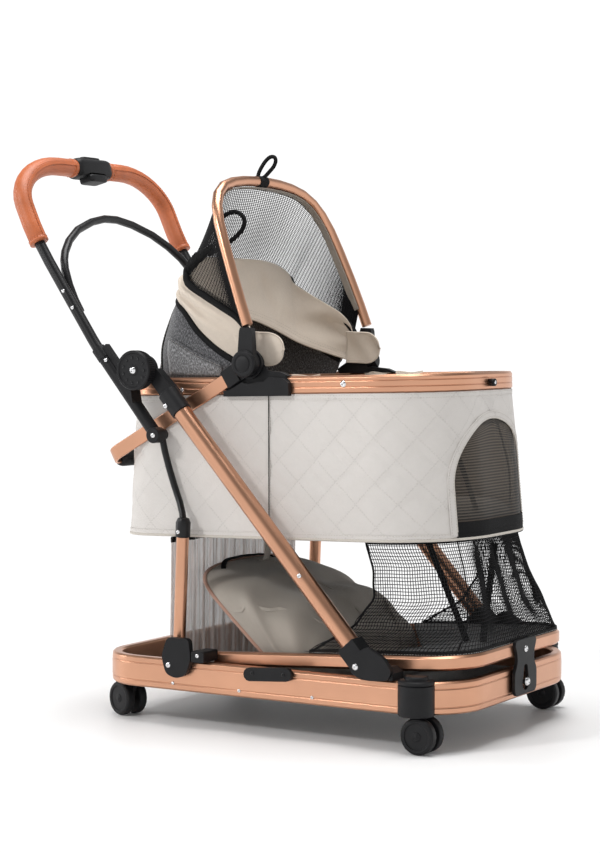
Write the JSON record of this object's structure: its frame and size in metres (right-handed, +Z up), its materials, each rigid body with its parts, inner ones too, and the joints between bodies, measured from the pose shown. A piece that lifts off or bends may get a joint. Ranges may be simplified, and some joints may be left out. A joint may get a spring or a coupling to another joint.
{
  "type": "pet stroller",
  "caption": "Pet stroller with a lift-off soft carrier under a mesh canopy, folding tube frame, caster base with a lower bay, and a padded push handle.",
  "frame": {"origin": "on the floor, under the middle of the object's bounding box", "axes": "+X towards the front, +Y to the stroller's left, +Z up"},
  "size_m": [0.9469, 0.551, 1.0205],
  "materials": {
    "rose_aluminium": "satin anodised rose copper",
    "black_metal": "satin black coat",
    "black_plastic": "fine matte grain",
    "grip_leather": "tan leather, soft sheen",
    "wheel_rubber": "smooth black tyre",
    "tub_fabric": "coated light woven cloth with faint quilting",
    "grey_fabric": "heather grey cloth",
    "canopy_mesh": "open black net",
    "curtain_fabric": "thin striped linen",
    "hood_fabric": "grey-beige coated cloth",
    "skirt_mesh": "open black net",
    "floor_fabric": "black cloth-covered board",
    "steel": "bright screw",
    "canopy_fabric": "beige canopy cloth",
    "piping": "rose piping",
    "webbing": "black webbing and binding",
    "cushion_fabric": "soft pad cloth"
  },
  "bodies": {
    "base": {"base_ring": "rose_aluminium", "upper_ring": "rose_aluminium", "floor_panel": "floor_fabric", "rear_bracket_right": "black_plastic", "rear_bracket_left": "black_plastic", "front_bracket_right": "black_plastic", "front_bracket_left": "black_plastic", "side_catch_right": "black_plastic", "side_catch_left": "black_plastic", "latch_stud": "steel", "caster_housing_right": "black_plastic", "caster_housing_left": "black_plastic", "rear_curtain": "curtain_fabric", "lower_hood": "hood_fabric", "front_skirt": "skirt_mesh"},
    "front_frame": {"leg_foot_right": "black_plastic", "leg_foot_left": "black_plastic", "front_leg_right": "rose_aluminium", "front_leg_left": "rose_aluminium", "hub_socket_right": "black_plastic", "hub_socket_left": "black_plastic"},
    "rear_frame": {"rear_post_right": "rose_aluminium", "rear_post_left": "rose_aluminium", "rear_link_right": "black_metal", "rear_link_left": "black_metal"},
    "handle_lower": {"handle_link_right": "black_plastic", "handle_link_left": "black_plastic"},
    "handle_upper": {"handle_frame": "black_metal", "grip_right": "grip_leather", "grip_left": "grip_leather", "handle_control": "black_plastic", "handle_hoop": "black_metal"},
    "fold_button": {"fold_button": "black_plastic"},
    "fold_trigger": {"fold_trigger": "black_plastic"},
    "latch_strap": {"latch_strap": "black_plastic"},
    "carrier": {"carrier_ring": "rose_aluminium", "carrier_tub": "tub_fabric", "ring_hub_right": "black_plastic", "ring_hub_left": "black_plastic", "canopy_back": "grey_fabric", "canopy_rear_bow": "black_metal"},
    "carry_handle": {"carry_socket_right": "black_plastic", "carry_socket_left": "black_plastic", "carry_bar": "rose_aluminium", "carry_grip": "black_plastic", "hub_cap_right": "black_plastic", "hub_cap_left": "black_plastic"},
    "canopy_mid": {"canopy_mid_bow": "black_metal", "canopy_skin": "canopy_mesh"},
    "canopy_front": {"canopy_front_bow": "rose_aluminium", "canopy_socket_right": "black_plastic", "canopy_socket_left": "black_plastic"},
    "fork_front_right": {"caster_fork_front_right": "black_plastic"},
    "wheels_front_right": {"caster_wheels_front_right": "wheel_rubber"},
    "fork_front_left": {"caster_fork_front_left": "black_plastic"},
    "wheels_front_left": {"caster_wheels_front_left": "wheel_rubber"},
    "fork_rear_right": {"caster_fork_rear_right": "black_plastic"},
    "wheels_rear_right": {"caster_wheels_rear_right": "wheel_rubber"},
    "fork_rear_left": {"caster_fork_rear_left": "black_plastic"},
    "wheels_rear_left": {"caster_wheels_rear_left": "wheel_rubber"}
  },
  "joints": [
    {"name": "carrier_lift", "type": "slide", "parent": "base", "child": "carrier", "axis": [0.4, 0, 0.9165], "range_m": [0, 0.6]},
    {"name": "front_fold", "type": "hinge", "parent": "base", "child": "front_frame", "pos_m": [0.2869, 0, 0.137], "axis": [0, -1, 0], "range_deg": [0, 34.1]},
    {"name": "rear_fold", "type": "hinge", "parent": "base", "child": "rear_frame", "pos_m": [-0.0905, 0, 0.13], "axis": [0, -1, 0], "range_deg": [0, 68.6]},
    {"name": "handle_fold", "type": "hinge", "parent": "front_frame", "child": "handle_lower", "pos_m": [-0.1653, 0, 0.6195], "axis": [0, 1, 0], "range_deg": [0, 105.9]},
    {"name": "handle_height", "type": "slide", "parent": "handle_lower", "child": "handle_upper", "axis": [-0.6378, 0, 0.7702], "range_m": [0, 0.07]},
    {"name": "fold_button_press", "type": "slide", "parent": "handle_upper", "child": "fold_button", "axis": [0.2333, 0, -0.9724], "range_m": [0, 0.0026], "stiffness_N_per_m": 600},
    {"name": "fold_trigger_squeeze", "type": "slide", "parent": "handle_upper", "child": "fold_trigger", "axis": [-0.2333, 0, 0.9724], "range_m": [0, 0.0022], "stiffness_N_per_m": 600},
    {"name": "latch_open", "type": "hinge", "parent": "base", "child": "latch_strap", "pos_m": [0.4659, 0, 0.162], "axis": [0, -1, 0], "range_deg": [0, 100]},
    {"name": "swivel_front_right", "type": "hinge", "parent": "base", "child": "fork_front_right", "pos_m": [0.3869, -0.243, 0.05], "axis": [0, 0, 1], "continuous": true},
    {"name": "roll_front_right", "type": "hinge", "parent": "fork_front_right", "child": "wheels_front_right", "pos_m": [0.3969, -0.243, 0.0305], "axis": [0, 1, 0], "continuous": true},
    {"name": "swivel_front_left", "type": "hinge", "parent": "base", "child": "fork_front_left", "pos_m": [0.3869, 0.243, 0.05], "axis": [0, 0, 1], "continuous": true},
    {"name": "roll_front_left", "type": "hinge", "parent": "fork_front_left", "child": "wheels_front_left", "pos_m": [0.3969, 0.243, 0.0305], "axis": [0, 1, 0], "continuous": true},
    {"name": "swivel_rear_right", "type": "hinge", "parent": "base", "child": "fork_rear_right", "pos_m": [-0.2131, -0.202, 0.05], "axis": [0, 0, 1], "continuous": true},
    {"name": "roll_rear_right", "type": "hinge", "parent": "fork_rear_right", "child": "wheels_rear_right", "pos_m": [-0.22256, -0.19874, 0.0305], "axis": [-0.3256, -0.9455, 0], "continuous": true},
    {"name": "swivel_rear_left", "type": "hinge", "parent": "base", "child": "fork_rear_left", "pos_m": [-0.2131, 0.202, 0.05], "axis": [0, 0, 1], "continuous": true},
    {"name": "roll_rear_left", "type": "hinge", "parent": "fork_rear_left", "child": "wheels_rear_left", "pos_m": [-0.22256, 0.19874, 0.0305], "axis": [0.3256, -0.9455, 0], "continuous": true},
    {"name": "carry_handle_raise", "type": "hinge", "parent": "carrier", "child": "carry_handle", "pos_m": [0.03811, 0, 0.63182], "axis": [0, 1, 0], "range_deg": [0, 40]},
    {"name": "canopy_mid_turn", "type": "hinge", "parent": "carrier", "child": "canopy_mid", "pos_m": [0.03811, 0, 0.63182], "axis": [0, 1, 0], "range_deg": [0, 20]},
    {"name": "canopy_front_turn", "type": "hinge", "parent": "canopy_mid", "child": "canopy_front", "pos_m": [0.03811, 0, 0.63182], "axis": [0, 1, 0], "range_deg": [0, 40.2]}
  ],
  "couplings": [
    {"joint": "front_fold", "follows": "carrier_lift", "rad_per_m": 0.98902},
    {"joint": "rear_fold", "follows": "carrier_lift", "rad_per_m": 1.9926},
    {"joint": "handle_fold", "follows": "carrier_lift", "rad_per_m": 3.0776},
    {"joint": "canopy_front_turn", "follows": "canopy_mid_turn", "ratio": 2}
  ]
}
